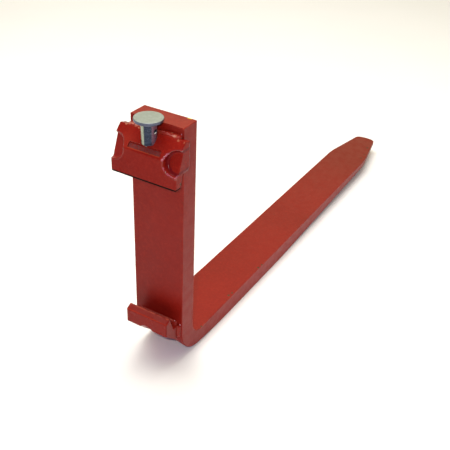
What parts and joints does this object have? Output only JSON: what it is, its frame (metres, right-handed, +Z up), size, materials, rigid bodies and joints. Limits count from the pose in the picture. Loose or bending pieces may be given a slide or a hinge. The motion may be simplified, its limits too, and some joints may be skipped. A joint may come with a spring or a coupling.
{
  "type": "forklift fork",
  "caption": "Forged L-shaped fork arm for a lift truck, with welded carriage hooks and a spring-loaded lock pin with a flat round knob.",
  "frame": {"origin": "middle of the part's footprint at floor level, under the blade", "axes": "+X across the fork, +Y from the shank towards the blade's tip, +Z up along the shank"},
  "size_m": [0.135, 1.1775, 0.53],
  "materials": {
    "red_paint": "satin red paint over forged steel, scuffed at the edges",
    "hook_paint": "glossy red paint over forged steel",
    "weld_paint": "red paint over rippled weld beads",
    "zinc_plate": "bright zinc plating, faintly blue on the sides",
    "pin_steel": "zinc-plated turned steel",
    "bush_steel": "plain turned steel",
    "spring_steel": "oiled spring steel"
  },
  "bodies": {
    "fork": {"fork_arm": "red_paint", "upper_hook": "hook_paint", "lower_hook": "hook_paint", "upper_top_weld": "weld_paint", "upper_throat_weld": "weld_paint", "upper_side_weld_right": "weld_paint", "upper_side_weld_left": "weld_paint", "lower_groove_weld": "weld_paint", "lower_heel_weld": "weld_paint", "lower_end_weld_right": "weld_paint", "lower_end_weld_left": "weld_paint", "guide_bush": "bush_steel", "lock_spring": "spring_steel"},
    "lock": {"lock_pin": "pin_steel", "lock_knob": "zinc_plate", "roll_pin": "spring_steel"}
  },
  "joints": [
    {"name": "lock_pin_lift", "type": "slide", "parent": "fork", "child": "lock", "axis": [0, 0, 1], "range_m": [0, 0.012], "stiffness_N_per_m": 4000, "springref_m": -0.005, "deforming": ["lock_spring"]}
  ]
}
